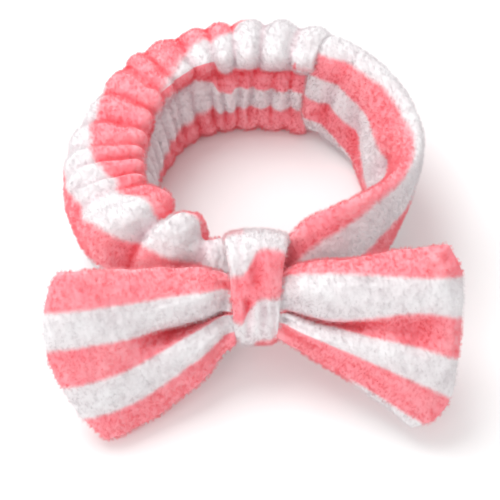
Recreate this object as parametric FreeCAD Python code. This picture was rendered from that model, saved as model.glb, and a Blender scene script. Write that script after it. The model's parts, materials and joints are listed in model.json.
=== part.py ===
"""Spa headband: a plush fleece tube on an elastic, with a padded fleece bow held by a knot wrap.

Units are millimetres. +Z is up, the bow faces -Y, and the wearer's head goes through along Z.
The origin is in the middle of the head opening, on the plane that the relaxed band rests on.
"""

import FreeCAD
import Part
import math
import os
from collections import namedtuple

Vector = FreeCAD.Vector

# ---- Fabric, elastic and thread ----
FLEECE_WALL = 3.6
THREAD_RADIUS = 0.4
ELASTIC_WIDTH = 24.0
ELASTIC_THICKNESS = 1.2
SEAM_GAP = 1.2
STITCH_STEP = 6.0
STITCH_COVER = 0.62
SECTION_POWER = 2.3
SECTION_ANGLES = range(0, 360, 20)
RIB_ANGLES = (0, 8, 22, 40, 65, 90, 115, 140, 158, 172, 180)

# ---- Band: sections of the fleece tube, anticlockwise from above, starting in the knot ----
# lean is the outward tilt of a section's top, in degrees.
Section = namedtuple("Section", "x y z half_height half_thickness lean")
SECTIONS = [
    Section(6, -64.9, 34.9, 18, 5.2, -46),
    Section(23, -64.8, 34.9, 17.5, 5.0, -46),
    Section(36, -54, 34.5, 27, 8, -26),
    Section(54, -42, 35, 31, 8, -10),
    Section(75, -17, 32, 33.5, 8, 8),
    Section(79, 12, 30.5, 32.5, 7, 20),
    Section(67, 47, 30.5, 32, 9, 18),
    Section(40, 71, 30, 31.5, 14, 12),
    Section(0, 77, 29, 31, 18, 12),
    Section(-36, 67, 28.5, 30.5, 19, 10),
    Section(-58, 39, 28, 29.5, 21, 10),
    Section(-67, 5, 27.5, 28.5, 24, 12),
    Section(-62, -25, 28.5, 29.5, 22, 8),
    Section(-46, -42, 32, 29, 17.5, -6),
    Section(-24, -53, 34.5, 25, 9.5, -28),
    Section(-11, -64.8, 34.9, 17.3, 5.0, -46),
]
KNOT_SEAM = 0
CROSS_SEAM = 7
ELASTIC_END = 14
RING_STEPS = 4
STRETCH_SPLIT_Y = 0.0
STRETCH_SPLIT_GAP = 0.4
TUBE_SEAM_ANGLE = 250.0

# ---- Bow: a leaning plane through the knot, with across along X, rise up the face, depth out of it ----
BOW_LEAN = 46.0
BOW_ORIGIN = Vector(6, -82, 36.8)
BOW_RISE = Vector(0, math.sin(math.radians(BOW_LEAN)), math.cos(math.radians(BOW_LEAN)))
BOW_FACE = Vector(0, -math.cos(math.radians(BOW_LEAN)), math.sin(math.radians(BOW_LEAN)))
FOLD_LINE = 16.5
WING_SWEEP = 28.8
WING_SWEEP_POWER = 1.3
WING_STEPS = 3
# Each rib crosses a wing: distance out from the knot, top edge, bottom edge, half of the thickness.
Rib = namedtuple("Rib", "out top bottom half_thickness")
LEFT_RIBS = [
    Rib(FOLD_LINE, 20.0, -22.0, 5.0),
    Rib(30, 22.5, -36.0, 7.5),
    Rib(45, 23.0, -50.0, 10.0),
    Rib(60, 23.0, -59.0, 11.5),
    Rib(72, 23.5, -62.0, 11.5),
    Rib(82, 24.0, -55.0, 10.5),
    Rib(90, 23.5, -46.0, 9.0),
    Rib(97, 19.5, -33.0, 6.5),
    Rib(101.5, 11.0, -21.0, 4.0),
    Rib(104, 0.0, -10.0, 1.5),
]
RIGHT_RIBS = [
    Rib(FOLD_LINE, 21.5, -18.0, 5.0),
    Rib(30, 24.5, -26.5, 7.5),
    Rib(45, 27.5, -35.0, 10.0),
    Rib(60, 30.5, -45.0, 11.5),
    Rib(72, 33.0, -54.0, 11.5),
    Rib(82, 35.5, -55.5, 10.5),
    Rib(90, 36.0, -49.0, 9.0),
    Rib(96, 30.0, -39.0, 6.5),
    Rib(99.5, 18.0, -26.0, 4.0),
    Rib(101.5, 6.0, -14.0, 1.5),
]
PANEL_PARTING = 0.2
WADDING_CLEARANCE = 2.0
ROLL_RADIUS = 3.0
ROLL_HALF_LENGTH = 13.0
ROLL_CLEARANCE = 0.5

# ---- Bow's pinched waist, its binding and the knot wrap ----
WAIST_RISE = 3.5
WAIST_DEPTH = -2.8
WAIST_HALF_HEIGHT = 14.0
WAIST_HALF_THICKNESS = 3.3
WAIST_HALF_LENGTH = 13.6
BINDING_RADIUS = 0.3
BINDING_TURNS = (-6.0, -4.5, -3.0)
WRAP_RISE = 9.0
WRAP_DEPTH = -9.0
WRAP_HALF_HEIGHT = 26.5
WRAP_HALF_THICKNESS = 15.0
WRAP_HALF_WIDTH = 12.5
WRAP_WALL = 4.4
WRAP_CORNER = 12.0
WRAP_STITCHES = 7

FAR = 400.0


# ---- Helpers ----


def resample(rows, steps, closed=False):
    """Rows at even steps along a smooth Hermite curve through the given ones."""
    kind = type(rows[0])
    if closed:
        ring = rows[-1:] + rows + rows[:2]
    else:
        ring = rows[:1] + rows + rows[-1:]
    marks = [0.0]
    for start, end in zip(ring[:-1], ring[1:]):
        marks.append(marks[-1] + (Vector(*end[:3]) - Vector(*start[:3])).Length)
    new_rows = []
    for i in range(1, len(ring) - 2):
        span = marks[i + 1] - marks[i]
        for step in range(steps):
            t = step / steps
            values = []
            for before, start, end, after in zip(*ring[i - 1 : i + 3]):
                leave = (end - before) / (marks[i + 1] - marks[i - 1]) * span
                arrive = (after - start) / (marks[i + 2] - marks[i]) * span
                curve = start + t * leave
                curve += t**2 * (3 * (end - start) - 2 * leave - arrive)
                curve += t**3 * (2 * (start - end) + leave + arrive)
                values.append(curve)
            new_rows.append(kind(*values))
    return new_rows if closed else new_rows + rows[-1:]


def rounded(angle, half_a, half_b):
    """The two coordinates of a superellipse's point."""
    cosine = math.cos(math.radians(angle))
    sine = math.sin(math.radians(angle))
    power = 2.0 / SECTION_POWER
    return (
        math.copysign(abs(cosine) ** power, cosine) * half_a,
        math.copysign(abs(sine) ** power, sine) * half_b,
    )


def closed_wire(points):
    """A smooth closed curve with the same knots for every ring of as many points."""
    curve = Part.BSplineCurve()
    curve.interpolate(Points=points, PeriodicFlag=True, Parameters=list(range(len(points) + 1)))
    return Part.Wire([curve.toShape()])


def open_edge(points):
    curve = Part.BSplineCurve()
    curve.interpolate(Points=points, Parameters=list(range(len(points))))
    return curve.toShape()


def loft(wires):
    """A solid through the wires, facing outwards."""
    solid = Part.makeLoft(wires, True, False)
    if solid.Volume < 0:
        solid.reverse()
    return solid


def box_between(low, high):
    size = high - low
    return Part.makeBox(size.x, size.y, size.z, low)


def stitch(start, end, radius):
    """A short round-ended length of thread."""
    direction = end - start
    length = direction.Length
    bend = radius * math.sqrt(0.5)
    low, high = Vector(radius, 0, 0), Vector(radius, 0, length)
    foot, tip = Vector(0, 0, -radius), Vector(0, 0, length + radius)
    outline = [
        Part.Arc(foot, Vector(bend, 0, -bend), low).toShape(),
        Part.makeLine(low, high),
        Part.Arc(high, Vector(bend, 0, length + bend), tip).toShape(),
        Part.makeLine(tip, foot),
    ]
    rod = Part.Face(Part.Wire(outline)).revolve(Vector(0, 0, 0), Vector(0, 0, 1), 360)
    rod.Placement = FreeCAD.Placement(start, FreeCAD.Rotation(Vector(0, 0, 1), direction))
    return rod


def stitch_row(points):
    """Separate stitches along a line of points."""
    stitches = []
    for start, end in zip(points[:-1], points[1:]):
        inset = (end - start) * ((1 - STITCH_COVER) / 2)
        stitches.append(stitch(start + inset, end - inset, THREAD_RADIUS))
    return stitches


def even_points(points, step):
    """Points at nearly even steps along a smooth curve."""
    edge = open_edge(points)
    count = max(2, round(edge.Length / step))
    return edge.discretize(count + 1)


# ---- Band ----


def ring_frames():
    """Close sections round the whole band: each section, its centre, outward and upward directions."""
    ring = resample(SECTIONS, RING_STEPS, closed=True)
    frames = []
    for i, section in enumerate(ring):
        before, after = ring[i - 1], ring[(i + 1) % len(ring)]
        travel = Vector(after.x - before.x, after.y - before.y, 0).normalize()
        outward = Vector(travel.y, -travel.x, 0)
        lean = math.radians(section.lean)
        up = outward * math.sin(lean) + Vector(0, 0, math.cos(lean))
        out = outward * math.cos(lean) - Vector(0, 0, math.sin(lean))
        frames.append((section, Vector(section.x, section.y, section.z), out, up))
    return frames


RING = ring_frames()


def stretch_of_ring(first, last):
    """The close sections from one named section to another."""
    start, end = first * RING_STEPS, last * RING_STEPS
    return [RING[i % len(RING)] for i in range(start, end + 1)]


SMOOTH = stretch_of_ring(KNOT_SEAM, CROSS_SEAM)
GATHERED = stretch_of_ring(CROSS_SEAM, len(SECTIONS) + KNOT_SEAM)


def section_points(frame, inset, angles):
    """Points round a band section, from its outer side over the top."""
    section, centre, out, up = frame
    points = []
    for angle in angles:
        a, b = rounded(angle, section.half_thickness - inset, section.half_height - inset)
        points.append(centre + out * a + up * b)
    return points


def tube_core(frames, inset):
    return loft([closed_wire(section_points(frame, inset, SECTION_ANGLES)) for frame in frames])


def seam_slab(frame, thickness):
    """A thin upright slab across the band."""
    out = frame[2]
    slab = Part.makeBox(thickness, FAR / 4, FAR / 2, Vector(-thickness / 2, -FAR / 8, -FAR / 4))
    slab.rotate(Vector(0, 0, 0), Vector(0, 0, 1), math.degrees(math.atan2(out.x, -out.y)))
    slab.translate(frame[1])
    return slab


def fleece_tube(frames):
    """A hollow tube, cut flat on the plane it rests on, with a seam's gap at each end."""
    tube = tube_core(frames, 0).cut(tube_core(frames, FLEECE_WALL))
    tube = tube.cut(box_between(Vector(-FAR, -FAR, -FAR), Vector(FAR, FAR, 0)))
    return tube.cut(seam_slab(frames[0], SEAM_GAP)).cut(seam_slab(frames[-1], SEAM_GAP))


def front_part(shape):
    edge = STRETCH_SPLIT_Y - STRETCH_SPLIT_GAP / 2
    return shape.common(box_between(Vector(-FAR, -FAR, -FAR), Vector(FAR, edge, FAR)))


def rear_part(shape):
    edge = STRETCH_SPLIT_Y + STRETCH_SPLIT_GAP / 2
    return shape.common(box_between(Vector(-FAR, edge, -FAR), Vector(FAR, FAR, FAR)))


def seam_loop(frame):
    """A loop of stitches through the middle of the fleece, in the gap of a seam."""
    return Part.makeCompound(stitch_row(section_points(frame, FLEECE_WALL / 2, range(-75, 256, 15))))


def elastic_strip():
    """The woven elastic, in the middle of the gathered tube."""
    wires = []
    for section, centre, out, up in stretch_of_ring(CROSS_SEAM, ELASTIC_END)[1:]:
        across, through = up * (ELASTIC_WIDTH / 2), out * (ELASTIC_THICKNESS / 2)
        corners = [across + through, through - across, Vector() - across - through, across - through]
        corners = [centre + corner for corner in corners]
        wires.append(Part.makePolygon(corners + corners[:1]))
    return loft(wires)


def elastic_tack(place, direction):
    """A zigzag of stitches on the outer side of the elastic's end."""
    section, centre, out, up = RING[place]
    travel = (RING[place + direction][1] - centre).normalize()
    base = centre + out * (ELASTIC_THICKNESS / 2 + 3 * THREAD_RADIUS)
    zigzags = 8
    points = []
    for i in range(zigzags + 1):
        rise = (i / zigzags - 0.5) * (ELASTIC_WIDTH - 4)
        points.append(base + up * rise + travel * (2.0 + 4.0 * (i % 2)))
    return Part.makeCompound(stitch_row(points))


def tube_seam_stitches():
    """Stitches of the seam along the tube, just inside its lower inner wall."""
    inset = FLEECE_WALL + THREAD_RADIUS + 0.6
    stitches = []
    for frames in (SMOOTH, GATHERED):
        line = [section_points(frame, inset, [TUBE_SEAM_ANGLE])[0] for frame in frames[1:-1]]
        stitches += stitch_row(even_points(line, STITCH_STEP))
    return stitches


# ---- Bow ----


def bow_point(across, rise, depth):
    return BOW_ORIGIN + Vector(across, 0, 0) + BOW_RISE * rise + BOW_FACE * depth


def wing_depth(out):
    """How far a wing has swept forwards at a distance from the knot."""
    share = max(out - FOLD_LINE, 0) / (LEFT_RIBS[-1].out - FOLD_LINE)
    return WAIST_DEPTH + WING_SWEEP * share**WING_SWEEP_POWER


def rib_point(rib, side, inset, angle, parting=0.0):
    """A point round a wing's rib: 0 is its top edge, 90 its front and 270 its back."""
    half_height = (rib.top - rib.bottom) / 2 - inset
    rise, depth = rounded(angle, half_height, rib.half_thickness - inset - abs(parting))
    middle = (rib.top + rib.bottom) / 2
    return bow_point(side * rib.out, middle + rise, wing_depth(rib.out) + depth + parting)


def thick_ribs(ribs, inset):
    """The ribs that keep some thickness when they are inset."""
    return [rib for rib in ribs if rib.half_thickness > inset + 1.0]


def half_wing(ribs, side, face):
    """The front half (face 1) or the back half (face -1) of a wing."""
    wires = []
    for rib in ribs:
        arc = [rib_point(rib, side, 0, face * angle, face * PANEL_PARTING) for angle in RIB_ANGLES]
        wires.append(Part.Wire([open_edge(arc), Part.makeLine(arc[-1], arc[0])]))
    return loft(wires)


def wing_core(ribs, side, inset):
    """The inside of a wing, at a distance from its surface."""
    wires = []
    for rib in thick_ribs(ribs, inset):
        wires.append(closed_wire([rib_point(rib, side, inset, angle) for angle in SECTION_ANGLES]))
    return loft(wires)


def fleece_panel(ribs, side, face):
    return half_wing(ribs, side, face).cut(wing_core(ribs, side, FLEECE_WALL))


def roll_cylinder(side, radius, half_length):
    """A cylinder on the fold line where a wing meets the waist."""
    start = bow_point(side * FOLD_LINE, WAIST_RISE - half_length, WAIST_DEPTH)
    return Part.makeCylinder(radius, 2 * half_length, start, BOW_RISE)


def seam_line(ribs, side, edge):
    """The line of a wing's edge seam, in the hollow of its top edge (1) or bottom edge (-1)."""
    inset = FLEECE_WALL + THREAD_RADIUS + 0.5
    line = []
    for rib in thick_ribs(ribs, inset + 1.6)[2:]:
        rise = rib.top - inset if edge > 0 else rib.bottom + inset
        line.append(bow_point(side * rib.out, rise, wing_depth(rib.out)))
    return line


def wing_nodes(name, ribs, side):
    """A wing's two panels, its wadding and its edge seams."""
    ribs = resample(ribs, WING_STEPS)
    gap = roll_cylinder(side, ROLL_RADIUS + ROLL_CLEARANCE, FAR / 8)
    back = fleece_panel(ribs, side, -1).fuse(roll_cylinder(side, ROLL_RADIUS, ROLL_HALF_LENGTH))
    stitches = []
    for edge in (1, -1):
        stitches += stitch_row(even_points(seam_line(ribs, side, edge), STITCH_STEP))
    return {
        name + "_front_panel": fleece_panel(ribs, side, 1).cut(gap),
        name + "_back_panel": back.removeSplitter(),
        name + "_wadding": wing_core(ribs, side, FLEECE_WALL + WADDING_CLEARANCE).cut(gap),
        name + "_edge_thread": Part.makeCompound(stitches),
    }


def waist_points(across, swell):
    """Points round the waist, swollen by a little for the thread that binds it."""
    points = []
    for angle in SECTION_ANGLES:
        rise, depth = rounded(angle, WAIST_HALF_HEIGHT + swell, WAIST_HALF_THICKNESS + swell)
        points.append(bow_point(across, WAIST_RISE + rise, WAIST_DEPTH + depth))
    return points


def bow_waist():
    """The bow's pinched middle, which ends in a hollow round each wing's rolled edge."""
    ends = (-WAIST_HALF_LENGTH, WAIST_HALF_LENGTH)
    waist = loft([closed_wire(waist_points(across, 0)) for across in ends])
    for side in (-1, 1):
        waist = waist.cut(roll_cylinder(side, ROLL_RADIUS + ROLL_CLEARANCE, FAR / 8))
    return waist


def waist_binding():
    """Turns of thread that pinch the bow's middle."""
    rings = []
    for across in BINDING_TURNS:
        path = closed_wire(waist_points(across, BINDING_RADIUS + 0.15))
        edge = path.Edges[0]
        start = edge.valueAt(edge.FirstParameter)
        circle = Part.makeCircle(BINDING_RADIUS, start, edge.tangentAt(edge.FirstParameter))
        rings.append(path.makePipe(Part.Face(Part.Wire([circle]))))
    return Part.makeCompound(rings)


def knot_block(half_height, half_thickness, half_width, corner):
    """A block round the knot with rounded long edges, before it is placed."""
    low = Vector(-half_width, -half_thickness, -half_height)
    block = box_between(low, Vector() - low)
    long_edges = [edge for edge in block.Edges if abs(edge.tangentAt(edge.FirstParameter).x) > 0.9]
    return block.makeFillet(corner, long_edges)


def knot_wrap():
    """The fleece strip that is wrapped round the band and the bow's waist."""
    outer = knot_block(WRAP_HALF_HEIGHT, WRAP_HALF_THICKNESS, WRAP_HALF_WIDTH, WRAP_CORNER)
    rims = [edge for edge in outer.Edges if abs(abs(edge.CenterOfMass.x) - WRAP_HALF_WIDTH) < 0.01]
    outer = outer.makeFillet(WRAP_WALL / 3, rims)
    hole_height, hole_thickness = WRAP_HALF_HEIGHT - WRAP_WALL, WRAP_HALF_THICKNESS - WRAP_WALL
    wrap = outer.cut(knot_block(hole_height, hole_thickness, 2 * WRAP_HALF_WIDTH, WRAP_CORNER - WRAP_WALL))
    wrap.rotate(Vector(0, 0, 0), Vector(1, 0, 0), -BOW_LEAN)
    wrap.translate(bow_point(0, WRAP_RISE, WRAP_DEPTH))
    return wrap


def wrap_stitches():
    """The zigzag of hand stitches that closes the wrap, on its back."""
    depth = WRAP_DEPTH - WRAP_HALF_THICKNESS - THREAD_RADIUS
    points = []
    for i in range(WRAP_STITCHES + 1):
        across = (i / WRAP_STITCHES - 0.5) * (2 * WRAP_HALF_WIDTH - 6)
        points.append(bow_point(across, WRAP_RISE + 1.2 * (-1) ** i, depth))
    return Part.makeCompound(stitch_row(points))


def build():
    smooth = fleece_tube(SMOOTH)
    gathered = fleece_tube(GATHERED)
    seam = tube_seam_stitches()
    front_seam = [one for one in seam if one.BoundBox.YMax < STRETCH_SPLIT_Y - STRETCH_SPLIT_GAP]
    rear_seam = [one for one in seam if one.BoundBox.YMin > STRETCH_SPLIT_Y + STRETCH_SPLIT_GAP]
    nodes = {
        "smooth_cover_front": front_part(smooth),
        "smooth_cover_rear": rear_part(smooth),
        "gathered_cover_front": front_part(gathered),
        "gathered_cover_rear": rear_part(gathered),
        "elastic_strip": elastic_strip(),
        "elastic_tack_rear": elastic_tack(CROSS_SEAM * RING_STEPS + 1, 1),
        "elastic_tack_front": elastic_tack(ELASTIC_END * RING_STEPS, -1),
        "cross_seam_thread": seam_loop(RING[CROSS_SEAM * RING_STEPS]),
        "knot_seam_thread": seam_loop(RING[KNOT_SEAM]),
        "tube_seam_thread_front": Part.makeCompound(front_seam),
        "tube_seam_thread_rear": Part.makeCompound(rear_seam),
        "knot_wrap": knot_wrap(),
        "knot_wrap_stitches": wrap_stitches(),
        "bow_waist": bow_waist(),
        "waist_binding_thread": waist_binding(),
    }
    nodes.update(wing_nodes("bow_left", LEFT_RIBS, -1))
    nodes.update(wing_nodes("bow_right", RIGHT_RIBS, 1))
    return nodes


def main():
    os.makedirs("parts", exist_ok=True)
    for name, shape in build().items():
        if not shape.Solids:
            raise RuntimeError(name + " holds no solid")
        shape.exportStep("parts/" + name + ".step")


main()
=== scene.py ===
"""Looks of the spa headband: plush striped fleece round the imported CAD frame.

Everything is in metres in the CAD's frame: +Z up, the bow faces -Y, the head goes through along Z.
The fleece skins are cast off the CAD solids, so their places come from the frame.
"""

import json
import math

import bmesh
import bpy
import numpy as np
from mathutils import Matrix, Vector
from mathutils.bvhtree import BVHTree


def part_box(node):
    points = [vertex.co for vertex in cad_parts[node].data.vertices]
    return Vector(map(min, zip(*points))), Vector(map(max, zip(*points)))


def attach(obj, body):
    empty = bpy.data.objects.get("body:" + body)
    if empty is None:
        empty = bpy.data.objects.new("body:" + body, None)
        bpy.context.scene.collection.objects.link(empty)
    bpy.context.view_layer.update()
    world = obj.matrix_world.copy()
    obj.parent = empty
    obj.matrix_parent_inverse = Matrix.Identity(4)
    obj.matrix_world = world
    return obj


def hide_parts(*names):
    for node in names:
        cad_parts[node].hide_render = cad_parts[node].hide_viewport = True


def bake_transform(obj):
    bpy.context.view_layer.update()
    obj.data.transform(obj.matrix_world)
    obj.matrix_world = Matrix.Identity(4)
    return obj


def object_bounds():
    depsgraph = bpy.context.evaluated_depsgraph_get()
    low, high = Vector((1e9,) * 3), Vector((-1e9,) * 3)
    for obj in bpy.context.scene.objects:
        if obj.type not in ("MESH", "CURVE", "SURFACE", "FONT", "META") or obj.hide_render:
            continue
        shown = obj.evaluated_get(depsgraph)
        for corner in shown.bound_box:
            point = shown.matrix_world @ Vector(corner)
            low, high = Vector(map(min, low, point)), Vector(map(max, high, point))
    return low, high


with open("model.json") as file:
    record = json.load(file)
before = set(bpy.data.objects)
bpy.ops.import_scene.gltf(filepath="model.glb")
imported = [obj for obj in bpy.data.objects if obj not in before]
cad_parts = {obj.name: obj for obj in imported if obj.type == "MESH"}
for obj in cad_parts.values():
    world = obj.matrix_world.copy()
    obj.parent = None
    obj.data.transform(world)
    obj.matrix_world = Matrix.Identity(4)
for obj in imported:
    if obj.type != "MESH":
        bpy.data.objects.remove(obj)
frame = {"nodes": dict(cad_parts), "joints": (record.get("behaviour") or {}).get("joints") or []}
cad_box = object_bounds()

MM = 0.001
rng = np.random.default_rng(7)

# ---- What the frame says ----
JOINTS = {joint["name"]: joint for joint in frame["joints"]}
LEFT_HINGE = Vector(JOINTS["bow_left_flex"]["pos_m"])
RIGHT_HINGE = Vector(JOINTS["bow_right_flex"]["pos_m"])
RISE = Vector(JOINTS["bow_left_flex"]["axis"]).normalized()
FACE = Vector((1, 0, 0)).cross(RISE)
KNOT = (LEFT_HINGE + RIGHT_HINGE) / 2
FOLD = (RIGHT_HINGE - LEFT_HINGE).length / 2


# ---- Numbers ----


def smooth(low, high, value):
    """A smooth step from 0 at low to 1 at high."""
    t = np.clip((np.asarray(value, float) - low) / (high - low), 0, 1)
    return t * t * (3 - 2 * t)


def bump(centre, width, value):
    """A smooth bump of height 1 and the given half width."""
    return np.exp(-(((np.asarray(value, float) - centre) / width) ** 2))


def middle_of(values):
    """Halfway between the lowest and the highest."""
    return (values.min() + values.max()) / 2


def length_along(points):
    """How far along a line each of its points lies."""
    return np.concatenate([[0], np.cumsum(np.linalg.norm(np.diff(points, axis=0), axis=1))])


def wander(count, step, low=0.0, high=1.0):
    """Slow random values, one each, that change over about step places."""
    knots = rng.uniform(low, high, max(4, int(count / step) + 3))
    places = np.linspace(0, len(knots) - 1.001, count)
    left = places.astype(int)
    share = places - left
    share = share * share * (3 - 2 * share)
    return knots[left] * (1 - share) + knots[left + 1] * share


def between(places, known, table):
    """Rows of a table that lie between the known ones."""
    return np.stack([np.interp(places, known, table[:, k]) for k in range(table.shape[1])], axis=-1)


def curve_through(points, shares):
    """Points at shares of the length of a smooth curve through a few points."""
    points = np.array(points, float)
    for _ in range(4):
        middle = (points[1:] + points[:-1]) / 2
        fine = np.empty((len(points) + len(middle), points.shape[1]))
        fine[0::2] = points
        fine[1::2] = middle
        rounded = fine.copy()
        rounded[1:-1] = (fine[:-2] + 2 * fine[1:-1] + fine[2:]) / 4
        points = rounded
    along = length_along(points)
    return between(np.asarray(shares) * along[-1], along, points)


def blur(grid, rounds, wrap_rows=False, wrap_columns=False):
    """Averages a grid with its neighbours."""
    for _ in range(rounds):
        for axis, wraps in ((0, wrap_rows), (1, wrap_columns)):
            before = np.roll(grid, 1, axis)
            after = np.roll(grid, -1, axis)
            if not wraps:
                edge = [slice(None)] * grid.ndim
                edge[axis] = 0
                before[tuple(edge)] = grid[tuple(edge)]
                edge[axis] = -1
                after[tuple(edge)] = grid[tuple(edge)]
            grid = (before + 2 * grid + after) / 4
    return grid


# ---- Meshes ----


def cad_tree(*nodes):
    """A tree for casting rays at some CAD nodes."""
    points = []
    faces = []
    for name in nodes:
        mesh = frame["nodes"][name].data
        first = len(points)
        points += [vertex.co.copy() for vertex in mesh.vertices]
        faces += [[first + i for i in face.vertices] for face in mesh.polygons]
    return BVHTree.FromPolygons(points, faces), np.array(points, float)


def grid_object(name, points, left, right, crease, caps=False):
    """A closed tube from rows of points.

    left and right are the cloth coordinates at the two sides of each column, and crease is how deep in a fold
    a point lies, from 0 to 1, which the materials turn into painted shade.
    """
    rows, columns = points.shape[:2]
    crease = np.clip(crease, 0, 1) * np.ones((rows, columns))
    faces = []
    weaves = []
    folds = []
    for i in range(rows - 1):
        for j in range(columns):
            k = (j + 1) % columns
            faces.append((i * columns + j, i * columns + k, (i + 1) * columns + k, (i + 1) * columns + j))
            weaves += [left[i, j], right[i, j], right[i + 1, j], left[i + 1, j]]
            folds += [crease[i, j], crease[i, k], crease[i + 1, k], crease[i + 1, j]]
    vertices = points.reshape(-1, 3).tolist()
    if caps:
        for i in (0, rows - 1):
            middle = len(vertices)
            vertices.append(points[i].mean(0).tolist())
            for j in range(columns):
                k = (j + 1) % columns
                faces.append((middle, i * columns + k, i * columns + j))
                weaves += [left[i, j], right[i, j], left[i, j]]
                folds += [0, 0, 0]
    mesh = bpy.data.meshes.new(name)
    mesh.from_pydata(vertices, [], faces)
    layer = mesh.uv_layers.new(name="weave")
    layer.data.foreach_set("uv", np.array(weaves, np.float32).ravel())
    # The crease depths, which the fleece and pile materials darken as painted shade.
    layer = mesh.uv_layers.new(name="crease")
    layer.data.foreach_set("uv", np.repeat(np.array(folds, np.float32), 2))
    mesh.polygons.foreach_set("use_smooth", [True] * len(faces))
    obj = bpy.data.objects.new(name, mesh)
    bpy.context.scene.collection.objects.link(obj)
    face_outwards(obj)
    return obj


def face_outwards(obj):
    """Turns a closed mesh's faces so that they all look out."""
    shape = bmesh.new()
    shape.from_mesh(obj.data)
    bmesh.ops.recalc_face_normals(shape, faces=shape.faces)
    if shape.calc_volume(signed=True) < 0:
        bmesh.ops.reverse_faces(shape, faces=shape.faces)
    shape.to_mesh(obj.data)
    shape.free()


def points_of(mesh):
    """The places of a mesh's vertices."""
    co = np.empty(len(mesh.vertices) * 3, np.float32)
    mesh.vertices.foreach_get("co", co)
    return co.reshape(-1, 3).astype(float)


def apply_modifiers(obj):
    """Replaces a mesh by what its modifiers make of it."""
    graph = bpy.context.evaluated_depsgraph_get()
    mesh = bpy.data.meshes.new_from_object(obj.evaluated_get(graph), depsgraph=graph)
    obj.modifiers.clear()
    old = obj.data
    obj.data = mesh
    bpy.data.meshes.remove(old)
    obj.data.polygons.foreach_set("use_smooth", [True] * len(obj.data.polygons))


def subdivide(obj, levels):
    """Rounds a coarse mesh."""
    modifier = obj.modifiers.new("rounding", "SUBSURF")
    modifier.levels = modifier.render_levels = levels
    modifier.boundary_smooth = "PRESERVE_CORNERS"
    apply_modifiers(obj)


# The cells of these meshes are a few millimetres wide, so only a very light and soft cloth moves at all.
CLOTH = {
    "quality": 5,
    "mass": 0.005,
    "air_damping": 1.0,
    "bending_stiffness": 0.01,
    "vertex_group_mass": "held",
    "pin_stiffness": 0.02,
    "use_pressure": True,
}


def settle(obj, held, pressure, frames, cap, stiffness=0.5, rest=None):
    """Lets cloth physics settle a closed fleece shape, pinned by the held weights, and applies the result.

    cap is how far a point may move. rest gives the places of the points in the cloth as it was cut.
    """
    start = points_of(obj.data)
    group = obj.vertex_groups.new(name="held")
    for i, weight in enumerate(held):
        if weight > 0:
            group.add([i], float(weight), "REPLACE")
    cloth = obj.modifiers.new("cloth", "CLOTH")
    settings = cloth.settings
    for name, value in CLOTH.items():
        setattr(settings, name, value)
    settings.tension_stiffness = stiffness
    settings.compression_stiffness = stiffness
    settings.shear_stiffness = stiffness / 3
    settings.uniform_pressure_force = pressure
    settings.effector_weights.gravity = 0
    cloth.collision_settings.use_collision = False
    if rest is not None:
        obj.shape_key_add(name="Basis")
        cut = obj.shape_key_add(name="cut length")
        cut.data.foreach_set("co", np.asarray(rest, np.float32).ravel())
        cut.value = 0
        settings.rest_shape_key = cut
    cloth.point_cache.frame_start = 1
    cloth.point_cache.frame_end = frames
    scene = bpy.context.scene
    for number in range(1, frames + 1):
        scene.frame_set(number)
    graph = bpy.context.evaluated_depsgraph_get()
    moved = points_of(obj.evaluated_get(graph).to_mesh()) - start
    obj.modifiers.clear()
    if rest is not None:
        obj.shape_key_clear()
    distance = np.linalg.norm(moved, axis=1, keepdims=True)
    moved *= np.minimum(1, cap / np.maximum(distance, 1e-9))
    obj.data.vertices.foreach_set("co", np.asarray(start + moved, np.float32).ravel())
    obj.data.update()
    scene.frame_set(1)


def ruffle(obj, size, height):
    """Pushes the surface in and out by a soft noise."""
    texture = bpy.data.textures.new("ruffle", "CLOUDS")
    texture.noise_scale = size
    texture.noise_depth = 2
    modifier = obj.modifiers.new("ruffle", "DISPLACE")
    modifier.texture = texture
    modifier.strength = height
    modifier.mid_level = 0.5
    modifier.texture_coords = "LOCAL"
    apply_modifiers(obj)


# ---- Materials ----

PINK = (0.93, 0.36, 0.40, 1)
PINK_DEEP = (0.90, 0.25, 0.30, 1)
WHITE = (0.82, 0.80, 0.81, 1)
WHITE_DEEP = (0.76, 0.71, 0.725, 1)
# Painted shade: the deeper, redder colours that the cloth is darkened towards in creases, dents and folds,
# and how far the white goes towards its shade colour.
PINK_FOLD_SHADE = (0.86, 0.12, 0.16, 1)
WHITE_FOLD_SHADE = (0.80, 0.55, 0.60, 1)
WHITE_FOLD_SHADE_SHARE = 0.6
# Patterns per metre, and the stripe borders' waviness and half width as shares of the stripes' repeat.
FUR_SCALE = 330
MOTTLE_SCALE = 70
TUFT_SCALE = 480
EDGE_WOBBLE = 0.05
EDGE_BLUR = 0.045


def new_material(name):
    """A material, its node tree and its shader node."""
    material = bpy.data.materials.new(name)
    material.use_nodes = True
    tree = material.node_tree
    return material, tree, tree.nodes["Principled BSDF"]


def add(tree, kind, **settings):
    """A new node with some of its settings made."""
    node = tree.nodes.new(kind)
    for name, value in settings.items():
        setattr(node, name, value)
    return node


def feed(tree, socket, value):
    """Links an output to a socket, or gives the socket a value of its own."""
    if hasattr(value, "is_output"):
        tree.links.new(value, socket)
    else:
        socket.default_value = value


def set_inputs(tree, node, values):
    """Feeds several of a node's sockets by name."""
    for name, value in values.items():
        feed(tree, node.inputs[name], value)


def maths(tree, operation, *values):
    """The result of one sum."""
    node = add(tree, "ShaderNodeMath", operation=operation)
    for socket, value in zip(node.inputs, values):
        feed(tree, socket, value)
    return node.outputs[0]


def mix_colours(tree, share, first, second):
    """The first colour at a share of 0, the second at 1."""
    node = add(tree, "ShaderNodeMix", data_type="RGBA")
    for number, value in ((0, share), (6, first), (7, second)):
        feed(tree, node.inputs[number], value)
    return node.outputs[2]


def own_place(tree):
    """The point's place on its own piece, so that a pattern moves with the piece."""
    return add(tree, "ShaderNodeTexCoord").outputs["Object"]


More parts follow.
